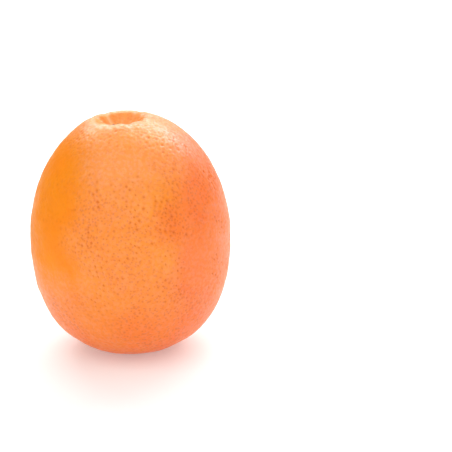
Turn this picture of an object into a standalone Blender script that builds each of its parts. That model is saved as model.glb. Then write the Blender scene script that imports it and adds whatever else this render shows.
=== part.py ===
"""A whole mandarin with its rind on, standing on a small flat spot at its blossom end.

It is two pieces: the fruit, which grew as one solid, and the dry calyx button in its stem hollow.
Metres, +Z up. The origin is in the flat spot, under the middle of the fruit.
"""

import math
import random

import bmesh
import bpy
import numpy as np
from mathutils import Vector

MM = 0.001

# The fruit's body, a turned egg shape with soft lobes
GIRTH_RADIUS = 27.3 * MM  # half the width at the widest level
UPPER_REACH = 34.7 * MM  # from the widest level up to the top of the curve, before the stem hollow sinks it
LOWER_REACH = 32.9 * MM  # from the widest level down to the end of the curve, before the flat spot
UPPER_FULLNESS = 2.0  # 2 makes the upper half an ellipse, and more makes its shoulders squarer
LOWER_FULLNESS = 2.41  # more than 2 makes the lower half squarer than an ellipse
FLAT_RADIUS = 5.6 * MM
SIDE_LOBES = ((2, 0.007, 0.5), (3, 0.008, 1.9), (5, 0.004, 0.7), (10, 0.003, 0.0))  # count, share, phase

# The hollow at the stem end, a little off the axis and tipped to -X
HOLLOW_MIDDLE = Vector((-2.2, -0.4)) * MM
HOLLOW_DEPTH = 4.6 * MM  # below the body's curve
HOLLOW_SPREAD = 5.5 * MM
COLLAR_RISE = 0.2 * MM  # of the low collar round the hollow, above the body's curve
COLLAR_MIDDLE = 7.0 * MM
COLLAR_SPREAD = 3.2 * MM
CROWN_TIP = 0.07  # slope that lifts the rim at -X and lowers it at +X
CROWN_SPREAD = 13.0 * MM

# Furrows that run out from the hollow. Each one's depth and length vary by the shares below
FURROWS = 11
FURROW_DEPTH = 0.65 * MM
FURROW_WIDTH = 1.0 * MM
FURROW_MIDDLE = 5.0 * MM  # distance from the hollow's middle at which a furrow is deepest
FURROW_REACH = 3.4 * MM
FURROW_START = 2.2 * MM  # nearer the hollow's middle than this the furrows fade out
FURROW_DEPTH_SHARES = (0.45, 1.0)
FURROW_REACH_SHARES = (0.7, 1.4)
FURROW_WANDER = 0.3  # how far a furrow's heading strays, as a share of the step between two

# The scar where the style fell off, in the middle of the flat spot
SCAR_RADIUS = 2.0 * MM
SCAR_DEPTH = 0.5 * MM

# Oil glands: pits all over the rind, larger than life so that this mesh can hold them
GLAND_SPACING = 3.0 * MM  # the least distance between two pits
GLAND_DEPTH = (0.25 * MM, 0.45 * MM)  # least and most
BARE_HOLLOW = (3.5 * MM, 15.0 * MM)  # distances from the hollow's middle over which the pits come in
BARE_BOTTOM = (0.2 * MM, 2.0 * MM)  # heights over which the pits come in

# The calyx button: five short sepals round a broken stalk
BUTTON_RADIUS = 2.7 * MM
BUTTON_THICKNESS = 0.8 * MM
BUTTON_NOTCH = 0.24  # how far the gaps between sepals cut in, as a share of the radius
BUTTON_CUP = 0.15 * MM  # how far the underside rises towards the sepals' tips
BUTTON_GAP = 0.3 * MM  # clear of the hollow's floor
BUTTON_TURN = 0.4
STALK_RISE = 0.35 * MM
STALK_EDGE = (0.6 * MM, 1.3 * MM)  # distances over which the stalk falls to the sepals
SEPALS = 5
SEPAL_SEGMENTS = 8
BUTTON_RINGS = 12

# The fruit's mesh: a cube's grids blown up to a ball and drawn in towards its ends, where small forms are
GRID_CUTS = 30  # on each of the cube's edges
BOTH_ENDS_CROWDING = 0.14
STEM_END_CROWDING = 0.16


def smooth_step(low, high, value):
    share = min(1.0, max(0.0, (value - low) / (high - low)))
    return share * share * (3 - 2 * share)


def girth_height():
    """Height of the widest level above the flat spot, where the curve has narrowed to FLAT_RADIUS."""
    share = (1 - (FLAT_RADIUS / GIRTH_RADIUS) ** LOWER_FULLNESS) ** (1 / LOWER_FULLNESS)
    return LOWER_REACH * share


def body_height(radius):
    """Height of the upper half of the body at this distance from its axis, before the stem hollow."""
    share = (1 - (radius / GIRTH_RADIUS) ** UPPER_FULLNESS) ** (1 / UPPER_FULLNESS)
    return girth_height() + UPPER_REACH * share


def make_furrows():
    """Heading, depth and length of each furrow, as shares of the named sizes."""
    draw = random.Random(11)
    step = 2 * math.pi / FURROWS
    furrows = []
    for i in range(FURROWS):
        heading = (i + draw.uniform(-FURROW_WANDER, FURROW_WANDER)) * step
        furrows.append((heading, draw.uniform(*FURROW_DEPTH_SHARES), draw.uniform(*FURROW_REACH_SHARES)))
    return furrows


def furrow_depth(offset, furrows):
    """How deep the furrows lie at a horizontal offset from the hollow's middle."""
    distance = offset.length
    depth = 0.0
    for heading, depth_share, reach_share in furrows:
        along = offset.x * math.cos(heading) + offset.y * math.sin(heading)
        across = -offset.x * math.sin(heading) + offset.y * math.cos(heading)
        if along > 0:
            length = math.exp(-(((distance - FURROW_MIDDLE) / (FURROW_REACH * reach_share)) ** 2))
            depth += FURROW_DEPTH * depth_share * length * math.exp(-((across / FURROW_WIDTH) ** 2))
    return depth * smooth_step(0, FURROW_START, distance)


def rind_point(polar, heading, furrows):
    """The smooth skin, without glands. polar runs from 0 at the stem end to pi at the blossom end."""
    upper = polar < math.pi / 2
    power = 2 / (UPPER_FULLNESS if upper else LOWER_FULLNESS)
    reach = UPPER_REACH if upper else -LOWER_REACH
    radius = GIRTH_RADIUS * math.sin(polar) ** power
    height = girth_height() + reach * abs(math.cos(polar)) ** power
    for count, share, phase in SIDE_LOBES:
        radius *= 1 + share * math.sin(polar) ** 2 * math.cos(count * heading + phase)
    point = Vector((radius * math.cos(heading), radius * math.sin(heading), height))
    if upper:
        offset = point.xy - HOLLOW_MIDDLE
        distance = offset.length
        point.z -= HOLLOW_DEPTH * math.exp(-((distance / HOLLOW_SPREAD) ** 3))
        point.z += COLLAR_RISE * math.exp(-(((distance - COLLAR_MIDDLE) / COLLAR_SPREAD) ** 2))
        point.z -= CROWN_TIP * offset.x * math.exp(-((distance / CROWN_SPREAD) ** 2))
        point.z -= furrow_depth(offset, furrows)
    else:
        scar = SCAR_DEPTH * max(0.0, 1 - (radius / SCAR_RADIUS) ** 2)
        point.z = max(point.z, scar)
    return point


def outward(point):
    """Direction straight out of the body's curve at a point on it."""
    rise = point.z - girth_height()
    reach = UPPER_REACH if rise > 0 else LOWER_REACH
    return Vector((point.x / GIRTH_RADIUS**2, point.y / GIRTH_RADIUS**2, rise / reach**2)).normalized()


def make_ball(bm):
    """A ball of unit radius whose mesh has no poles. Its squares are split by turns along one diagonal and
    the other, so that the pits don't run together in one direction."""
    bmesh.ops.create_cube(bm, size=2)
    bmesh.ops.subdivide_edges(bm, edges=bm.edges[:], cuts=GRID_CUTS, use_grid_fill=True)
    cell = 2 / (GRID_CUTS + 1)
    halves = ([], [])
    for face in bm.faces:
        column_and_row = sum(int((value + 1) / cell) for value in face.calc_center_median())
        halves[column_and_row % 2].append(face)
    bmesh.ops.triangulate(bm, faces=halves[0], quad_method="FIXED")
    bmesh.ops.triangulate(bm, faces=halves[1], quad_method="ALTERNATE")
    for vertex in bm.verts:
        vertex.co = Vector([math.tan(value * math.pi / 4) for value in vertex.co]).normalized()


def sink_glands(bm):
    """Sinks a pit at each vertex that a seeded draw picks with no other pit near it. They fade out in the
    stem hollow and above the flat spot."""
    draw = random.Random(5)
    order = bm.verts[:]
    draw.shuffle(order)
    pits = np.empty((0, 3))
    for vertex in order:
        place = np.array(vertex.co)
        if len(pits) and np.linalg.norm(pits - place, axis=1).min() < GLAND_SPACING:
            continue
        pits = np.vstack([pits, place])
        depth = draw.uniform(*GLAND_DEPTH)
        if vertex.co.z > girth_height():
            depth *= smooth_step(*BARE_HOLLOW, (vertex.co.xy - HOLLOW_MIDDLE).length)
        else:
            depth *= smooth_step(*BARE_BOTTOM, vertex.co.z)
        vertex.co -= outward(vertex.co) * depth


def new_object(name, bm, collection, material):
    """An object with the finished mesh of a bmesh, which is freed."""
    bmesh.ops.recalc_face_normals(bm, faces=bm.faces)
    mesh = bpy.data.meshes.new(name)
    bm.to_mesh(mesh)
    bm.free()
    mesh.materials.append(material)
    mesh.shade_smooth()
    obj = bpy.data.objects.new(name, mesh)
    collection.objects.link(obj)
    return obj


def make_material(name, colour, roughness):
    material = bpy.data.materials.new(name)
    material.use_nodes = True
    shader = material.node_tree.nodes["Principled BSDF"]
    shader.inputs["Base Color"].default_value = (*colour, 1)
    shader.inputs["Roughness"].default_value = roughness
    shader.inputs["Metallic"].default_value = 0.0
    return material


def make_fruit(collection, material):
    """Makes the fruit, and returns the shift that stands the middle of its box over the origin."""
    furrows = make_furrows()
    bm = bmesh.new()
    make_ball(bm)
    for vertex in bm.verts:
        polar = math.acos(max(-1.0, min(1.0, vertex.co.z)))
        polar -= BOTH_ENDS_CROWDING * math.sin(2 * polar) + STEM_END_CROWDING * math.sin(polar)
        heading = math.atan2(vertex.co.y, vertex.co.x)
        vertex.co = rind_point(polar, heading, furrows)
    sink_glands(bm)
    xs = [vertex.co.x for vertex in bm.verts]
    ys = [vertex.co.y for vertex in bm.verts]
    shift = Vector((-(min(xs) + max(xs)) / 2, -(min(ys) + max(ys)) / 2, 0))
    bmesh.ops.translate(bm, verts=bm.verts, vec=shift)
    new_object("fruit", bm, collection, material)
    return shift


def make_button(collection, material, shift):
    """Makes a lens with five lobes, which thickens into the broken stalk at its middle."""
    bm = bmesh.new()
    bmesh.ops.create_uvsphere(bm, u_segments=SEPAL_SEGMENTS * SEPALS, v_segments=BUTTON_RINGS, radius=1)
    for vertex in bm.verts:
        spread = vertex.co.xy.length
        heading = math.atan2(vertex.co.y, vertex.co.x)
        lobe = 1 - BUTTON_NOTCH * (0.5 - 0.5 * math.cos(SEPALS * heading)) ** 2
        flat = vertex.co.xy * BUTTON_RADIUS * lobe
        rise = vertex.co.z * BUTTON_THICKNESS / 2
        if vertex.co.z > 0:
            rise += STALK_RISE * (1 - smooth_step(*STALK_EDGE, flat.length))
        else:
            rise += BUTTON_CUP * spread**2
        vertex.co = (flat.x, flat.y, rise)
    button = new_object("calyx_button", bm, collection, material)
    middle = HOLLOW_MIDDLE.to_3d() + shift
    floor = body_height(HOLLOW_MIDDLE.length) - HOLLOW_DEPTH
    button.location = (middle.x, middle.y, floor + BUTTON_GAP + BUTTON_THICKNESS / 2)
    button.rotation_euler = (0, math.atan(CROWN_TIP), BUTTON_TURN)


def main():
    for obj in list(bpy.data.objects):
        bpy.data.objects.remove(obj, do_unlink=True)
    collection = bpy.data.collections.new("mandarin")
    bpy.context.scene.collection.children.link(collection)
    rind = make_material("rind", (0.94, 0.27, 0.02), 0.42)
    dry_calyx = make_material("dry_calyx", (0.25, 0.17, 0.06), 0.8)
    shift = make_fruit(collection, rind)
    make_button(collection, dry_calyx, shift)


main()
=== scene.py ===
import math
import random

import bmesh
import bpy
import numpy as np
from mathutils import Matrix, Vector, kdtree, noise


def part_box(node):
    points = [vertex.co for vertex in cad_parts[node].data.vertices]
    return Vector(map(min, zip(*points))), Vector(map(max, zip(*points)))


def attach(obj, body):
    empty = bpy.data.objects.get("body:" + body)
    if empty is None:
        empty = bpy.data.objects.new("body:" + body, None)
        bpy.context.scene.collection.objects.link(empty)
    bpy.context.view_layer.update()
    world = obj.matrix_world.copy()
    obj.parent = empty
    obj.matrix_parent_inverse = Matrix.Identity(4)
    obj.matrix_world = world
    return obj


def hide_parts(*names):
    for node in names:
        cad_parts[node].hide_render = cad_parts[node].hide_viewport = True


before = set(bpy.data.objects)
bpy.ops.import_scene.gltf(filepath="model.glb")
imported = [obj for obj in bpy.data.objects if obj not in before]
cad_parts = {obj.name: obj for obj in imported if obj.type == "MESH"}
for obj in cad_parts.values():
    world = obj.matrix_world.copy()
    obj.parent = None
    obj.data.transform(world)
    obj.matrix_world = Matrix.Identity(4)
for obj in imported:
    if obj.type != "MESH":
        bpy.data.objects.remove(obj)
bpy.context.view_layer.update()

# A whole mandarin: a fine pitted rind and a dry calyx, each in place of its plain CAD solid.
# Shape values are millimetres, and mm turns them into Blender's metres.
mm = 0.001

print("mandarin: frame loaded")


# Camera and framing

cameraView = {
    "lens": 100.0,
    "sensor": 36.0,
    "distance": 348.0,
    "elevation": 18.0,      # degrees above the horizon, looking along +Y
    "aimRight": 26.3,       # the fruit stands left of the picture's middle
    "aimUp": 1.7,
}


def makeCamera(fruitMiddle):
    tilt = math.radians(cameraView["elevation"])
    back = Vector((0, -math.cos(tilt), math.sin(tilt)))
    up = Vector((0, math.sin(tilt), math.cos(tilt)))
    aim = fruitMiddle + Vector((cameraView["aimRight"] * mm, 0, 0)) + up * cameraView["aimUp"] * mm
    cameraData = bpy.data.cameras.new("camera")
    cameraData.lens = cameraView["lens"]
    cameraData.sensor_width = cameraView["sensor"]
    cameraData.clip_start = 0.01
    camera = bpy.data.objects.new("camera", cameraData)
    camera.location = aim + back * cameraView["distance"] * mm
    camera.rotation_euler = (math.pi / 2 - tilt, 0, 0)
    bpy.context.scene.collection.objects.link(camera)
    bpy.context.scene.camera = camera


# Node helpers

def addNode(tree, kind, place, **settings):
    node = tree.nodes.new(kind)
    node.location = place
    for name, value in settings.items():
        setattr(node, name, value)
    return node


def setInputs(node, **values):
    # keys are socket names with their spaces taken out
    for socket in node.inputs:
        key = socket.name.replace(" ", "")
        if key in values and socket.enabled:
            socket.default_value = values[key]


def mixColours(tree, place, mask, first, second, blend="MIX"):
    # mask, first and second are sockets or plain values
    node = addNode(tree, "ShaderNodeMix", place, data_type="RGBA", blend_type=blend)
    for slot, value in ((0, mask), (6, first), (7, second)):
        if isinstance(value, bpy.types.NodeSocket):
            tree.links.new(value, node.inputs[slot])
        else:
            node.inputs[slot].default_value = value if slot == 0 else (*value, 1)
    return node.outputs[2]


def rampMask(tree, place, source, low, high, lowValue=0.0, highValue=1.0):
    node = addNode(tree, "ShaderNodeMapRange", place, interpolation_type="SMOOTHSTEP")
    tree.links.new(source, node.inputs["Value"])
    setInputs(node, FromMin=low, FromMax=high, ToMin=lowValue, ToMax=highValue)
    return node.outputs["Result"]


def addMath(tree, place, operation, first, second):
    node = addNode(tree, "ShaderNodeMath", place, operation=operation)
    for slot, value in ((0, first), (1, second)):
        if isinstance(value, bpy.types.NodeSocket):
            tree.links.new(value, node.inputs[slot])
        else:
            node.inputs[slot].default_value = value
    return node.outputs[0]


def readMask(tree, place, name):
    return addNode(tree, "ShaderNodeAttribute", place, attribute_name=name).outputs["Fac"]


# Shared effects

def newGroup(name, inputs, outputs):
    group = bpy.data.node_groups.new(name, "ShaderNodeTree")
    for title, kind, value in inputs:
        socket = group.interface.new_socket(name=title, in_out="INPUT", socket_type=kind)
        if value is not None:
            socket.default_value = value
    for title, kind in outputs:
        group.interface.new_socket(name=title, in_out="OUTPUT", socket_type=kind)
    start = addNode(group, "NodeGroupInput", (-900, 0))
    end = addNode(group, "NodeGroupOutput", (700, 0))
    return group, start, end


def makeMottleGroup():
    # slow drifts of colour with smaller blotches on them, as two masks
    group, start, end = newGroup(
        "growthMottle",
        (("Drift Scale", "NodeSocketFloat", 45.0), ("Blotch Scale", "NodeSocketFloat", 260.0)),
        (("Drift", "NodeSocketFloat"), ("Blotch", "NodeSocketFloat")),
    )
    coordinates = addNode(group, "ShaderNodeTexCoord", (-900, -250))
    fields = (("Drift", 2.0, 150, 0.36, 0.64), ("Blotch", 3.0, -150, 0.38, 0.66))
    for title, detail, place, low, high in fields:
        texture = addNode(group, "ShaderNodeTexNoise", (-500, place))
        setInputs(texture, Detail=detail, Roughness=0.55)
        group.links.new(coordinates.outputs["Object"], texture.inputs["Vector"])
        group.links.new(start.outputs[title + " Scale"], texture.inputs["Scale"])
        mask = rampMask(group, (-200, place), texture.outputs["Fac"], low, high)
        group.links.new(mask, end.inputs[title])
    return group


def makePoreGroup():
    # microscopic skin: fine cells with soft grain over them, as a height
    group, start, end = newGroup(
        "skinPores",
        (("Cell Scale", "NodeSocketFloat", 1900.0), ("Grain Scale", "NodeSocketFloat", 5200.0),
         ("Grain Share", "NodeSocketFloat", 0.4)),
        (("Height", "NodeSocketFloat"), ("Cells", "NodeSocketFloat")),
    )
    coordinates = addNode(group, "ShaderNodeTexCoord", (-900, -250))
    cells = addNode(group, "ShaderNodeTexVoronoi", (-500, 150), feature="SMOOTH_F1")
    setInputs(cells, Smoothness=0.6)
    grain = addNode(group, "ShaderNodeTexNoise", (-500, -150))
    setInputs(grain, Detail=2.0, Roughness=0.5)
    for texture, title in ((cells, "Cell Scale"), (grain, "Grain Scale")):
        group.links.new(coordinates.outputs["Object"], texture.inputs["Vector"])
        group.links.new(start.outputs[title], texture.inputs["Scale"])
    bumps = rampMask(group, (-200, 150), cells.outputs["Distance"], 0.1, 0.75)
    grainPart = addMath(group, (-200, -150), "MULTIPLY", grain.outputs["Fac"], start.outputs["Grain Share"])
    group.links.new(addMath(group, (200, 0), "ADD", bumps, grainPart), end.inputs["Height"])
    group.links.new(bumps, end.inputs["Cells"])
    return group


def useGroup(tree, group, place, **values):
    node = addNode(tree, "ShaderNodeGroup", place)
    node.node_tree = group
    setInputs(node, **values)
    return node


# Rind

rindForm = {
    "cuts": 123,                    # on each edge of the cube it starts from
    "endCrowding": 0.05,            # how far the mesh is drawn in towards both ends
    "stemCrowding": 0.09,           # and further towards the stem end
    "girthRadius": 27.3,
    "upperReach": 34.7,
    "lowerReach": 32.9,
    "upperFullness": 2.0,
    "lowerFullness": 2.41,
    "flatRadius": 5.6,
    "sideLobes": ((2, 0.007, 0.5), (3, 0.008, 1.9), (5, 0.004, 0.7), (10, 0.003, 0.0)),
    "hollowMiddle": (-2.2, -0.4),
    "hollowDepth": 4.6,
    "hollowSpread": 5.5,
    "collarRise": 0.2,
    "collarMiddle": 7.0,
    "collarSpread": 3.2,
    "crownTip": 0.07,
    "crownSpread": 13.0,
    "furrows": 11,
    "furrowDepth": 0.65,
    "furrowWidth": 1.0,
    "furrowMiddle": 5.0,
    "furrowReach": 3.4,
    "furrowStart": 2.2,
    "furrowSeed": 11,
    "furrowStrengths": (0.45, 1.0),
    "furrowLengths": (0.7, 1.4),
    "furrowWander": 0.3,            # how far a furrow strays from an even spacing
    "wrinkles": 46,                 # hair-fine creases between the furrows
    "wrinkleDepth": 0.09,
    "wrinkleWidth": 0.24,
    "wrinkleMiddle": 5.4,
    "wrinkleReach": 2.6,
    "wrinkleSeed": 23,
    "wrinkleStrengths": (0.2, 1.0),
    "wrinkleLengths": (0.5, 1.5),
    "wrinkleWander": 0.45,
    "scarRadius": 2.0,
    "scarDepth": 0.5,
    "stemReach": (2.0, 9.0),        # distances over which the stem's mask fades
    "blossomReach": (0.6, 3.2),     # and the blossom's
    "swellSize": 7.0,               # slow swells of the whole skin
    "swellDepth": 0.22,
    "ripple": 2.0,                  # finer unevenness between the glands
    "rippleDepth": 0.09,
    "swellFoot": (0.3, 4.0),        # heights over which the swells come in
    "crownCalm": 0.5,               # share of the swells that is missing on the crown
    "crownWax": (46.0, 61.0),       # heights over which the wax grows thicker
}

rindGlands = {
    "spacing": 1.08,                # least distance between two oil glands
    "tallness": 1.16,               # a pit is this much taller than wide
    "radius": (0.38, 0.7),
    "depth": (0.05, 0.28),
    "coarseSide": (-19.5, -8.5),    # across x, where the glands and the wax come up to full strength
    "coarseFoot": (19.0, 33.0),     # heights over which the wax and the fine glands do so again
    "coarseRagged": 4.0,
    "smoothShare": 0.3,             # strength of the glands on the smooth side
    "footShare": 0.5,               # and at the foot
    "foot": (12.0, 30.0),           # heights over which they come up to full strength
    "patch": 8.0,                   # patches of stronger and weaker glands
    "patchShare": 0.35,             # strength of the weak ones
    "patchEdges": (0.2, 0.7),
    "weakDepth": 0.4,               # least share of a gland's depth in a weak patch
    "shallowMask": 0.25,            # least share of its colour in a shallow gland
    "scatterSeed": 5,
    "sizeSeed": 7,
    "shallowness": 1.5,             # above 1, more of the glands are shallow than deep
    "crownCalm": 0.35,              # share of the depth that is missing on the crown
    "bareHollow": (2.8, 13.0),      # distances from the hollow's middle over which glands come in
    "bareBottom": (0.05, 1.2),      # heights over which they come in
}


# painted shade: the rind is painted redder and darker towards the right side and the foot
rindShadeBlush = {
    "side": (6.0, 20.0),            # across x, where the rind turns redder
    "foot": (-10.0, 41.0),          # heights over which it does so, going down
    "patch": 9.0,
    "ragged": 5.0,
}


def smoothStep(low, high, value):
    share = np.clip((value - low) / (high - low), 0, 1)
    return share * share * (3 - 2 * share)


def radialCreases(x, y, count, seed, middle, reach, width, shareRange, reachRange, wander):
    # summed depth, 0 to about 1, of creases that run out from the hollow
    draw = random.Random(seed)
    distance = np.hypot(x, y)
    total = np.zeros_like(x)
    for i in range(count):
        heading = (i + draw.uniform(-wander, wander)) * 2 * math.pi / count
        share = draw.uniform(*shareRange)
        length = reach * draw.uniform(*reachRange)
        along = x * math.cos(heading) + y * math.sin(heading)
        across = -x * math.sin(heading) + y * math.cos(heading)
        fade = np.exp(-(((distance - middle) / length) ** 2)) * (along > 0)
        total += share * fade * np.exp(-((across / width) ** 2))
    return total


def shapeRind(unit):
    # moves a unit ball's points to the fruit's smooth skin, and returns its masks with them
    form = rindForm
    polar = np.arccos(np.clip(unit[:, 2], -1, 1))
    polar -= form["endCrowding"] * np.sin(2 * polar) + form["stemCrowding"] * np.sin(polar)
    heading = np.arctan2(unit[:, 1], unit[:, 0])
    upper = polar < math.pi / 2
    power = np.where(upper, 2 / form["upperFullness"], 2 / form["lowerFullness"])
    reach = np.where(upper, form["upperReach"], -form["lowerReach"])
    flatShare = (form["flatRadius"] / form["girthRadius"]) ** form["lowerFullness"]
    girthHeight = form["lowerReach"] * (1 - flatShare) ** (1 / form["lowerFullness"])
    sine = np.clip(np.sin(polar), 0, 1)
    radius = form["girthRadius"] * sine ** power
    z = girthHeight + reach * np.abs(np.cos(polar)) ** power
    for count, share, phase in form["sideLobes"]:
        radius *= 1 + share * sine ** 2 * np.cos(count * heading + phase)
    x = radius * np.cos(heading)
    y = radius * np.sin(heading)

    offX = x - form["hollowMiddle"][0]
    offY = y - form["hollowMiddle"][1]
    distance = np.hypot(offX, offY)
    furrows = radialCreases(offX, offY, form["furrows"], form["furrowSeed"], form["furrowMiddle"],
                            form["furrowReach"], form["furrowWidth"], form["furrowStrengths"],
                            form["furrowLengths"], form["furrowWander"])
    furrows *= smoothStep(0, form["furrowStart"], distance)
    wrinkles = radialCreases(offX, offY, form["wrinkles"], form["wrinkleSeed"], form["wrinkleMiddle"],
                             form["wrinkleReach"], form["wrinkleWidth"], form["wrinkleStrengths"],
                             form["wrinkleLengths"], form["wrinkleWander"])
    top = -form["hollowDepth"] * np.exp(-((distance / form["hollowSpread"]) ** 3))
    top += form["collarRise"] * np.exp(-(((distance - form["collarMiddle"]) / form["collarSpread"]) ** 2))
    top -= form["crownTip"] * offX * np.exp(-((distance / form["crownSpread"]) ** 2))
    top -= form["furrowDepth"] * furrows + form["wrinkleDepth"] * wrinkles
    scar = form["scarDepth"] * np.clip(1 - (radius / form["scarRadius"]) ** 2, 0, None)
    z = np.where(upper, z + top, np.maximum(z, scar))
    furrows = np.where(upper, furrows, 0)
    stem = np.where(upper, 1 - smoothStep(*form["stemReach"], distance), 0)
    blossom = np.where(upper, 0, 1 - smoothStep(*form["blossomReach"], radius))
    farAway = 99.0
    hollowDistance = np.where(upper, distance, farAway)
    return np.stack([x, y, z], axis=1), furrows, stem, blossom, hollowDistance


def scatterGlands(points, seed):
    # picks points in a seeded order, none nearer to another than the spacing
    spacing = rindGlands["spacing"]
    order = list(range(len(points)))
    random.Random(seed).shuffle(order)
    squat = points * (1, 1, 1 / rindGlands["tallness"])
    cells = {}
    chosen = []
    for index in order:
        place = squat[index]
        cell = tuple(int(value // spacing) for value in place)
        near = (
            squat[other]
            for i in (-1, 0, 1) for j in (-1, 0, 1) for k in (-1, 0, 1)
            for other in cells.get((cell[0] + i, cell[1] + j, cell[2] + k), ())
        )
        if all(np.dot(place - spot, place - spot) >= spacing * spacing for spot in near):
            cells.setdefault(cell, []).append(index)
            chosen.append(index)
    return chosen, squat


def coarseMasks(points):
    # two masks: the first goes from 0 on the smooth side of the rind to 1 on the coarse side,
    # and the second is 1 at the foot too
    offset = Vector((3, 0, 0))
    ragged = np.array([noise.noise(Vector(place) / rindGlands["patch"] + offset) for place in points])
    ragged *= rindGlands["coarseRagged"]
    side = smoothStep(*rindGlands["coarseSide"], points[:, 0] + ragged)
    foot = 1 - smoothStep(*rindGlands["coarseFoot"], points[:, 2] + ragged)
    return side, np.maximum(side, foot)


def glandDepths(points, hollowDistance, side):
    # depth of the pit at each point, in mm, and a mask that is 1 in the middle of a deep pit
    form = rindGlands
    chosen, squat = scatterGlands(points, form["scatterSeed"])
    draw = random.Random(form["sizeSeed"])
    shallowest, deepest = form["depth"]
    tree = kdtree.KDTree(len(chosen))
    sizes = []
    for i, index in enumerate(chosen):
        tree.insert(squat[index], i)
        depth = shallowest + (deepest - shallowest) * draw.random() ** form["shallowness"]
        sizes.append((draw.uniform(*form["radius"]), depth))
    tree.balance()
    offset = Vector((0, 0, 5))
    patches = [0.5 + noise.noise(Vector(points[index]) / form["patch"] + offset) for index in chosen]
    strengths = smoothStep(*form["patchEdges"], np.array(patches))
    strengths = form["patchShare"] + (1 - form["patchShare"]) * strengths
    depths = np.zeros(len(points))
    mask = np.zeros(len(points))
    for index, place in enumerate(squat):
        _, i, distance = tree.find(place)
        radius, depth = sizes[i]
        share = distance / radius
        if share < 1:
            pit = (1 - share * share) ** 2
            depths[index] = depth * pit * (form["weakDepth"] + (1 - form["weakDepth"]) * strengths[i])
            tint = form["shallowMask"] + (1 - form["shallowMask"]) * depth / deepest
            mask[index] = pit * strengths[i] * tint
    height = points[:, 2]
    fade = smoothStep(*form["bareHollow"], hollowDistance)
    fade *= form["smoothShare"] + (1 - form["smoothShare"]) * side
    fade *= form["footShare"] + (1 - form["footShare"]) * smoothStep(*form["foot"], height)
    fade *= 1 - form["crownCalm"] * smoothStep(*rindForm["crownWax"], height)
    fade = np.minimum(fade, smoothStep(*form["bareBottom"], height))
    print(f"mandarin: {len(chosen)} oil glands on the rind")
    return depths * fade, mask * fade


def swells(points):
    form = rindForm
    values = np.empty(len(points))
    for index, place in enumerate(points):
        slow = noise.noise(Vector(place) / form["swellSize"]) * form["swellDepth"]
        fine = noise.noise(Vector(place) / form["ripple"]) * form["rippleDepth"]
        values[index] = slow + fine
    calmCrown = 1 - form["crownCalm"] * smoothStep(*form["crownWax"], points[:, 2])
    return values * calmCrown * smoothStep(*form["swellFoot"], points[:, 2])


def paintedShadeOver(points):
    # painted shade: 0 where the rind is golden and 1 towards the right side and at the foot, where it is
    # painted redder and darker, with a ragged border between them
    form = rindShadeBlush
    ragged = np.array([noise.noise(Vector(place) / form["patch"]) for place in points]) * form["ragged"]
    side = smoothStep(*form["side"], points[:, 0] + ragged)
    foot = 1 - smoothStep(*form["foot"], points[:, 2] - ragged)
    return 1 - (1 - side) * (1 - foot)


def readPoints(mesh, layer="vertices"):
    values = np.empty(len(getattr(mesh, layer)) * 3)
    key = "co" if layer == "vertices" else "vector"
    getattr(mesh, layer).foreach_get(key, values)
    return values.reshape(-1, 3)


def writePoints(mesh, points):
    mesh.vertices.foreach_set("co", np.ascontiguousarray(points, dtype=np.float32).ravel())
    mesh.update()


def addMask(mesh, name, values):
    layer = mesh.attributes.new(name, "FLOAT", "POINT")
    layer.data.foreach_set("value", np.ascontiguousarray(values, dtype=np.float32))


def fitBox(points, low, high):
    # slides and scales points to fill a CAD box exactly
    start, end = points.min(axis=0), points.max(axis=0)
    return np.array(low) + (points - start) * (np.array(high) - np.array(low)) / (end - start)


def makeRind(material):
    low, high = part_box("fruit")
    ball = bmesh.new()
    bmesh.ops.create_cube(ball, size=2)
    bmesh.ops.subdivide_edges(ball, edges=ball.edges[:], cuts=rindForm["cuts"], use_grid_fill=True)
    bmesh.ops.recalc_face_normals(ball, faces=ball.faces[:])
    mesh = bpy.data.meshes.new("mandarin_rind")
    ball.to_mesh(mesh)
    ball.free()

    unit = np.tan(readPoints(mesh) * math.pi / 4)
    unit /= np.linalg.norm(unit, axis=1)[:, None]
    skin, furrows, stem, blossom, hollowDistance = shapeRind(unit)
    skin = fitBox(skin, low / mm, high / mm)
    writePoints(mesh, skin)
    outward = readPoints(mesh, "vertex_normals")
    skin = fitBox(skin + outward * swells(skin)[:, None], low / mm, high / mm)
    side, coarse = coarseMasks(skin)
    depths, glandMask = glandDepths(skin, hollowDistance, side)
    skin = skin - outward * depths[:, None]
    skin[:, 2] = np.maximum(skin[:, 2], low.z / mm)
    writePoints(mesh, np.clip(skin * mm, low, high))

    addMask(mesh, "gland", glandMask)
    addMask(mesh, "coarse", coarse)
    # mask of the painted shade on the right side and the foot
    addMask(mesh, "shadeBlush", paintedShadeOver(skin))
    addMask(mesh, "crown", smoothStep(*rindForm["crownWax"], skin[:, 2]))
    addMask(mesh, "furrow", furrows)
    addMask(mesh, "stem", stem)
    addMask(mesh, "blossom", blossom)
    mesh.materials.append(material)
    mesh.shade_smooth()
    rind = bpy.data.objects.new("mandarin_rind", mesh)
    bpy.context.scene.collection.objects.link(rind)
    print(f"mandarin: rind has {len(mesh.vertices)} points")
    return rind


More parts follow.
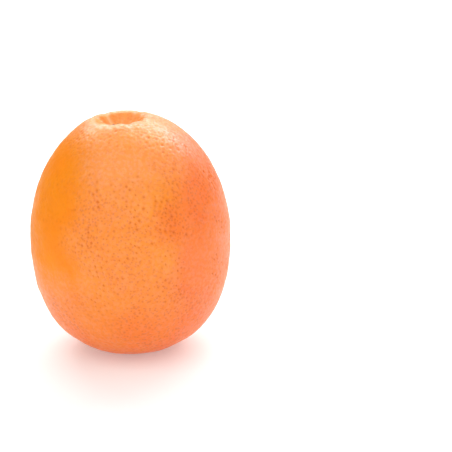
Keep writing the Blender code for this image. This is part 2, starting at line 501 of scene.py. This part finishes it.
rindLook = {
    "goldOrange": (0.88, 0.25, 0.007),
    # painted shade: the darker, redder copy of the orange for the right side and the foot
    "redOrange": (0.86, 0.158, 0.010),
    "freckle": (0.80, 0.195, 0.005),
    "glandOil": (0.54, 0.076, 0.003),
    # painted sheen: a paler, pinker tint for the stem hollow
    "stemDeep": (0.92, 0.36, 0.12),
    # painted shade in the furrows
    "furrowDark": (0.70, 0.20, 0.015),
    "scuff": (0.70, 0.33, 0.12),
    "scarBrown": (0.16, 0.075, 0.03),
    "redDrift": 0.12,               # how far slow drifts move the colour to either side
    "freckleShare": 0.22,
    "glandShare": 0.85,
    "stemShare": 0.75,
    "furrowShare": 0.5,
    "scuffShare": 0.35,
    "scuffEdges": (0.66, 0.76),
    "scarEdges": (0.35, 0.95),
    "fineGlands": 0.42,             # strength of the tiny glands between the large ones
    "fineWidth": 0.6,
    "smoothFine": 0.12,             # share of them on the smooth side
    "thinFine": 0.35,               # share of them in the faint patches
    "roughness": (0.45, 0.56),
    "wornRoughness": 0.4,           # added on scuffs and the scar
    "coat": 1.0,
    "coatWorn": 0.6,                # wear at which the wax is gone
    "bodyWax": 0.66,                # share of the wax below the crown
    "stemWax": 0.3,                 # share of the wax in the hollow
    "stemWaxEdges": (0.03, 0.4),
    "smoothWax": 0.07,              # share of the wax on the smooth side
    "thinBloom": 0.55,              # share of the wax where it lies thinnest
    "pitWax": 0.3,                  # share of the wax in the middle of a gland
    "pitWaxEdges": (0.1, 0.8),
    "subsurface": 0.22,
    "subsurfaceScale": 0.0022,
    "bump": 0.45,
}


def makeRindMaterial(mottle, pores):
    look = rindLook
    material = bpy.data.materials.new("waxyRind")
    material.use_nodes = True
    tree = material.node_tree
    shader = tree.nodes["Principled BSDF"]
    shader.location = (1850, 0)
    drifts = useGroup(tree, mottle, (-1200, 400), DriftScale=48.0, BlotchScale=330.0)
    skin = useGroup(tree, pores, (-1200, -700), CellScale=1150.0, GrainScale=4200.0, GrainShare=0.45)
    gland = readMask(tree, (-1200, 100), "gland")
    coarse = readMask(tree, (-1200, 0), "coarse")
    crown = readMask(tree, (-1200, -200), "crown")
    furrow = readMask(tree, (-1200, -100), "furrow")
    stem = readMask(tree, (-1200, -300), "stem")
    blossom = readMask(tree, (-1200, -500), "blossom")

    # colour, from the slow drifts and the painted shade to the small marks
    # painted shade towards the right side and the foot, added to slow drifts of tone
    shadeBlush = readMask(tree, (-1200, 600), "shadeBlush")
    reach = look["redDrift"]
    drift = rampMask(tree, (-1050, 500), drifts.outputs["Drift"], 0.0, 1.0, -reach, reach)
    shadeAndDrift = addMath(tree, (-900, 550), "ADD", shadeBlush, drift)
    colour = mixColours(tree, (-700, 500), shadeAndDrift, look["goldOrange"], look["redOrange"])
    blotch = addMath(tree, (-900, 300), "MULTIPLY", drifts.outputs["Blotch"], look["freckleShare"])
    colour = mixColours(tree, (-500, 500), blotch, colour, look["freckle"])
    oil = addMath(tree, (-700, 100), "MULTIPLY", gland, look["glandShare"])
    cells = skin.outputs["Cells"]
    fineOil = rampMask(tree, (-900, 0), cells, 0.0, look["fineWidth"], look["fineGlands"], 0.0)
    fineShare = rampMask(tree, (-900, -150), coarse, 0.0, 1.0, look["smoothFine"], 1.0)
    finePatch = rampMask(tree, (-900, -300), drifts.outputs["Drift"], 0.0, 1.0, look["thinFine"], 1.0)
    fineShare = addMath(tree, (-800, -150), "MULTIPLY", fineShare, finePatch)
    fineOil = addMath(tree, (-700, 0), "MULTIPLY", fineOil, fineShare)
    oil = addMath(tree, (-500, 100), "MAXIMUM", oil, fineOil)
    colour = mixColours(tree, (-300, 400), oil, colour, look["glandOil"])
    # painted sheen: the rind in and around the stem hollow is painted paler and pinker
    stemSheen = addMath(tree, (-700, -300), "MULTIPLY", stem, look["stemShare"])
    colour = mixColours(tree, (-100, 300), stemSheen, colour, look["stemDeep"])
    # painted shade: the rind is darkened in the furrows round the hollow
    furrowShade = addMath(tree, (-700, -100), "MULTIPLY", furrow, look["furrowShare"])
    colour = mixColours(tree, (100, 250), furrowShade, colour, look["furrowDark"])

    # faint dry scuffs, few and small
    coordinates = addNode(tree, "ShaderNodeTexCoord", (-1200, 800))
    marks = addNode(tree, "ShaderNodeTexNoise", (-900, 800))
    setInputs(marks, Scale=150.0, Detail=6.0, Roughness=0.62)
    tree.links.new(coordinates.outputs["Object"], marks.inputs["Vector"])
    scuff = rampMask(tree, (-700, 800), marks.outputs["Fac"], *look["scuffEdges"], 0.0, look["scuffShare"])
    colour = mixColours(tree, (300, 300), scuff, colour, look["scuff"])
    scar = rampMask(tree, (-500, -500), blossom, *look["scarEdges"])
    colour = mixColours(tree, (500, 250), scar, colour, look["scarBrown"])
    tree.links.new(colour, shader.inputs["Base Color"])

    # wax lies unevenly, is thin in the pits, and is gone on scuffs and the scar
    wear = addMath(tree, (700, -50), "MAXIMUM", scuff, scar)
    wornRoughness = addMath(tree, (900, -50), "MULTIPLY", wear, look["wornRoughness"])
    patches = rampMask(tree, (500, -200), drifts.outputs["Blotch"], 0.0, 1.0, *look["roughness"])
    roughness = addMath(tree, (1100, -100), "ADD", patches, wornRoughness)
    tree.links.new(roughness, shader.inputs["Roughness"])
    coat = rampMask(tree, (900, -250), wear, 0.0, look["coatWorn"], look["coat"], 0.0)
    bloomField = useGroup(tree, mottle, (300, -350), DriftScale=520.0, BlotchScale=1100.0)
    bloom = rampMask(tree, (600, -350), bloomField.outputs["Blotch"], 0.0, 1.0, look["thinBloom"], 1.0)
    pitWax = rampMask(tree, (600, -550), gland, *look["pitWaxEdges"], 1.0, look["pitWax"])
    coat = addMath(tree, (1050, -300), "MULTIPLY", coat, bloom)
    coat = addMath(tree, (1200, -300), "MULTIPLY", coat, pitWax)
    sideWax = rampMask(tree, (1050, -500), coarse, 0.0, 1.0, look["smoothWax"], 1.0)
    coat = addMath(tree, (1350, -300), "MULTIPLY", coat, sideWax)
    stemWax = rampMask(tree, (1050, -700), stem, *look["stemWaxEdges"], 1.0, look["stemWax"])
    coat = addMath(tree, (1500, -300), "MULTIPLY", coat, stemWax)
    crownWax = rampMask(tree, (1200, -700), crown, 0.0, 1.0, look["bodyWax"], 1.0)
    coat = addMath(tree, (1650, -300), "MULTIPLY", coat, crownWax)
    tree.links.new(coat, shader.inputs["Coat Weight"])

    bump = addNode(tree, "ShaderNodeBump", (1200, -500))
    setInputs(bump, Strength=look["bump"], Distance=0.00009)
    tree.links.new(skin.outputs["Height"], bump.inputs["Height"])
    tree.links.new(bump.outputs["Normal"], shader.inputs["Normal"])
    setInputs(shader, Metallic=0.0, IOR=1.46, SpecularIORLevel=0.1, CoatRoughness=0.37, CoatIOR=1.9)
    setInputs(shader, SubsurfaceWeight=look["subsurface"], SubsurfaceRadius=(1.0, 0.35, 0.1),
              SubsurfaceScale=look["subsurfaceScale"])
    return material


# Dry calyx

calyxForm = {
    "around": 200,                  # the mesh's segments and rings
    "rings": 56,
    "sepals": 5,
    "notch": 0.38,                  # how far the gaps cut in, as a share of the radius
    "gapSoftness": 0.03,            # rounds the bottom of the gaps
    "tipPoint": 0.85,               # lower is more pointed
    "thickness": 0.62,
    "lift": 0.18,                   # middle of the sepals above the bottom of its CAD solid
    "seat": 0.55,                   # how far it reaches below its CAD solid, into the hollow's floor
    "edgeUneven": 0.12,
    "tipZone": (0.25, 0.9),         # shares of the radius over which the star's outline comes in
    "ribRise": 0.1,
    "ribWidth": 0.16,
    "fibreRise": 0.06,
    "tipCurl": 0.2,
    "stalkRadius": 0.92,
    "stalkEdges": (0.82, 1.2),
    "stalkRise": 0.42,
    "stalkRough": 0.16,
}


def shapeCalyx(unit, radius):
    form = calyxForm
    spread = np.hypot(unit[:, 0], unit[:, 1])
    heading = np.arctan2(unit[:, 1], unit[:, 0])
    soft = form["gapSoftness"]
    # 1 along a sepal's middle and low in a gap
    wave = np.sqrt((np.cos(form["sepals"] * heading / 2) ** 2 + soft) / (1 + soft))
    uneven = np.array([noise.noise(Vector((math.cos(a) * 1.7, math.sin(a) * 1.7, 4.0))) for a in heading])
    edge = 1 - form["notch"] * (1 - wave) ** form["tipPoint"] + form["edgeUneven"] * uneven
    tip = (1 - form["notch"]) + (edge - (1 - form["notch"])) * smoothStep(*form["tipZone"], spread)
    flat = spread * tip * radius
    x = flat * np.cos(heading)
    y = flat * np.sin(heading)
    top = unit[:, 2] > 0
    rise = unit[:, 2] * form["thickness"] / 2
    rib = np.exp(-(((1 - wave) / form["ribWidth"]) ** 2)) * form["ribRise"]
    fibres = np.array([
        noise.noise(Vector((math.cos(a) * 9, math.sin(a) * 9, d * 1.3))) for a, d in zip(heading, flat)
    ])
    curl = form["tipCurl"] * smoothStep(0.5, 1.0, spread) * wave * (0.6 + 0.8 * uneven)
    inner, outer = form["stalkEdges"]
    stalk = 1 - smoothStep(form["stalkRadius"] * inner, form["stalkRadius"] * outer, flat)
    broken = np.array([
        noise.noise(Vector((px * 3.2, py * 3.2, 1.0))) + 0.5 * noise.noise(Vector((px * 8, py * 8, 3.0)))
        for px, py in zip(x, y)
    ])
    upper = rise + rib * (1 - stalk) + fibres * form["fibreRise"] * (1 - stalk)
    upper += stalk * (form["stalkRise"] + form["stalkRough"] * broken)
    seat = form["seat"] * (1 - smoothStep(0.55, 1.0, spread))
    z = np.where(top, upper, rise - seat) + curl
    return np.stack([x, y, z], axis=1), stalk, fibres * 0.5 + 0.5, wave * smoothStep(0.3, 0.9, spread)


def makeCalyx(material):
    low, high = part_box("calyx_button")
    middle = (low + high) / 2
    radius = (high.x - low.x) / 2 / mm
    star = bmesh.new()
    bmesh.ops.create_uvsphere(star, u_segments=calyxForm["around"], v_segments=calyxForm["rings"], radius=1)
    bmesh.ops.recalc_face_normals(star, faces=star.faces[:])
    mesh = bpy.data.meshes.new("dry_calyx_star")
    star.to_mesh(mesh)
    star.free()
    points, stalk, fibre, sepal = shapeCalyx(readPoints(mesh), radius)
    lean = math.atan(rindForm["crownTip"])
    leaned = points.copy()
    leaned[:, 0] = points[:, 0] * math.cos(lean) + points[:, 2] * math.sin(lean)
    leaned[:, 2] = points[:, 2] * math.cos(lean) - points[:, 0] * math.sin(lean)
    base = Vector((middle.x, middle.y, low.z + calyxForm["lift"] * mm))
    writePoints(mesh, leaned * mm + np.array(base))
    addMask(mesh, "stalk", stalk)
    addMask(mesh, "fibre", fibre)
    addMask(mesh, "sepal", sepal)
    mesh.materials.append(material)
    mesh.shade_smooth()
    calyx = bpy.data.objects.new("dry_calyx_star", mesh)
    bpy.context.scene.collection.objects.link(calyx)
    print(f"mandarin: calyx has {len(mesh.vertices)} points")
    return calyx


calyxLook = {
    "bark": (0.13, 0.075, 0.022),
    "green": (0.15, 0.13, 0.025),
    "straw": (0.36, 0.22, 0.07),
    "cutWood": (0.40, 0.25, 0.09),
    "fibreEdges": (0.45, 0.75),
    "fibreShare": 0.7,
    "tipShare": 0.3,
    "woodShare": 0.8,
    "spotShare": 0.35,
    "roughness": (0.88, 0.68),
    "bump": 0.5,
}


def makeCalyxMaterial(mottle, pores):
    look = calyxLook
    material = bpy.data.materials.new("dryCalyx")
    material.use_nodes = True
    tree = material.node_tree
    shader = tree.nodes["Principled BSDF"]
    shader.location = (900, 0)
    drifts = useGroup(tree, mottle, (-900, 300), DriftScale=500.0, BlotchScale=1600.0)
    skin = useGroup(tree, pores, (-900, -300), CellScale=5200.0, GrainScale=9000.0, GrainShare=0.8)
    stalk = readMask(tree, (-900, 100), "stalk")
    fibre = readMask(tree, (-900, -50), "fibre")
    sepal = readMask(tree, (-900, -150), "sepal")
    colour = mixColours(tree, (-600, 300), drifts.outputs["Drift"], look["bark"], look["green"])
    pale = rampMask(tree, (-600, 0), fibre, *look["fibreEdges"], 0.0, look["fibreShare"])
    colour = mixColours(tree, (-400, 250), pale, colour, look["straw"])
    tips = addMath(tree, (-600, -200), "MULTIPLY", sepal, look["tipShare"])
    colour = mixColours(tree, (-200, 200), tips, colour, look["straw"])
    wood = addMath(tree, (-200, -50), "MULTIPLY", stalk, look["woodShare"])
    colour = mixColours(tree, (0, 200), wood, colour, look["cutWood"])
    spots = addMath(tree, (0, 0), "MULTIPLY", drifts.outputs["Blotch"], look["spotShare"])
    colour = mixColours(tree, (200, 200), spots, colour, look["bark"])
    tree.links.new(colour, shader.inputs["Base Color"])
    roughness = rampMask(tree, (400, -100), fibre, 0.0, 1.0, *look["roughness"])
    tree.links.new(roughness, shader.inputs["Roughness"])
    bump = addNode(tree, "ShaderNodeBump", (600, -300))
    setInputs(bump, Strength=look["bump"], Distance=0.00006)
    tree.links.new(skin.outputs["Height"], bump.inputs["Height"])
    tree.links.new(bump.outputs["Normal"], shader.inputs["Normal"])
    return material


# Floor and light

studio = {
    "floorWidth": 6.0,
    "floorColour": (0.8, 0.8, 0.795),
    "floorShade": 0.985,            # share of that colour in its darkest patches
    "floorGlow": 0.25,              # under the fruit, as on a light table
    "farGlow": 0.75,
    "farFloor": (0.5, 1.3),         # distances in metres over which the glow grows
    "surround": (1.0, 0.995, 0.985),
    "surroundStrength": 0.12,
}

# name, place and aim in millimetres, width and height in millimetres, brightness of its face
studioLights = (
    ("ceilingPanel", (250, 550, 1350), (250, 550, 0), (2500, 2300), 0.8),
    ("crownPanel", (25, 640, 830), (0, 0, 60), (1500, 520), 3.9),
    ("backPanel", (260, 1080, 620), (0, 0, 60), (2050, 950), 1.3),
    ("frontPanel", (-110, -560, 470), (0, 0, 34), (1440, 900), 1.35),
    ("sidePanel", (700, -60, 380), (0, 0, 34), (620, 560), 0.9),
)


def makeFloorMaterial():
    material = bpy.data.materials.new("paleFloor")
    material.use_nodes = True
    tree = material.node_tree
    shader = tree.nodes["Principled BSDF"]
    coordinates = addNode(tree, "ShaderNodeTexCoord", (-800, 0))
    texture = addNode(tree, "ShaderNodeTexNoise", (-600, 0))
    setInputs(texture, Scale=3.0, Detail=2.0)
    tree.links.new(coordinates.outputs["Object"], texture.inputs["Vector"])
    darker = tuple(value * studio["floorShade"] for value in studio["floorColour"])
    colour = mixColours(tree, (-300, 0), texture.outputs["Fac"], studio["floorColour"], darker)
    tree.links.new(colour, shader.inputs["Base Color"])
    distance = addNode(tree, "ShaderNodeVectorMath", (-600, -300), operation="LENGTH")
    tree.links.new(coordinates.outputs["Object"], distance.inputs[0])
    glow = rampMask(tree, (-300, -300), distance.outputs["Value"], *studio["farFloor"], studio["floorGlow"],
                    studio["farGlow"])
    tree.links.new(glow, shader.inputs["Emission Color"])
    setInputs(shader, Roughness=0.7, SpecularIORLevel=0.2, EmissionStrength=1.0)
    return material


def makeFloor():
    sheet = bmesh.new()
    bmesh.ops.create_grid(sheet, x_segments=8, y_segments=8, size=studio["floorWidth"] / 2)
    mesh = bpy.data.meshes.new("floor")
    sheet.to_mesh(mesh)
    sheet.free()
    mesh.materials.append(makeFloorMaterial())
    floor = bpy.data.objects.new("floor", mesh)
    bpy.context.scene.collection.objects.link(floor)


def makeLights():
    world = bpy.data.worlds.new("studio")
    world.use_nodes = True
    background = world.node_tree.nodes["Background"]
    background.inputs["Color"].default_value = (*studio["surround"], 1)
    background.inputs["Strength"].default_value = studio["surroundStrength"]
    bpy.context.scene.world = world
    for name, place, aim, size, brightness in studioLights:
        lightData = bpy.data.lights.new(name, "AREA")
        lightData.shape = "RECTANGLE"
        lightData.size = size[0] * mm
        lightData.size_y = size[1] * mm
        lightData.energy = brightness * math.pi * lightData.size * lightData.size_y
        light = bpy.data.objects.new(name, lightData)
        light.location = Vector(place) * mm
        light.rotation_mode = "QUATERNION"
        light.rotation_quaternion = (Vector(aim) - Vector(place)).to_track_quat("-Z", "Y")
        bpy.context.scene.collection.objects.link(light)
    bpy.context.scene.view_settings.view_transform = "Standard"


# Assembly

fruitLow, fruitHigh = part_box("fruit")
makeCamera((fruitLow + fruitHigh) / 2)
makeFloor()
makeLights()
print("mandarin: camera, floor and lights are in place")

growthMottle = makeMottleGroup()
skinPores = makePoreGroup()

rind = makeRind(makeRindMaterial(growthMottle, skinPores))
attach(rind, "root")
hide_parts("fruit")

calyx = makeCalyx(makeCalyxMaterial(growthMottle, skinPores))
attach(calyx, "root")
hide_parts("calyx_button")
print("mandarin: pieces ride on the frame")
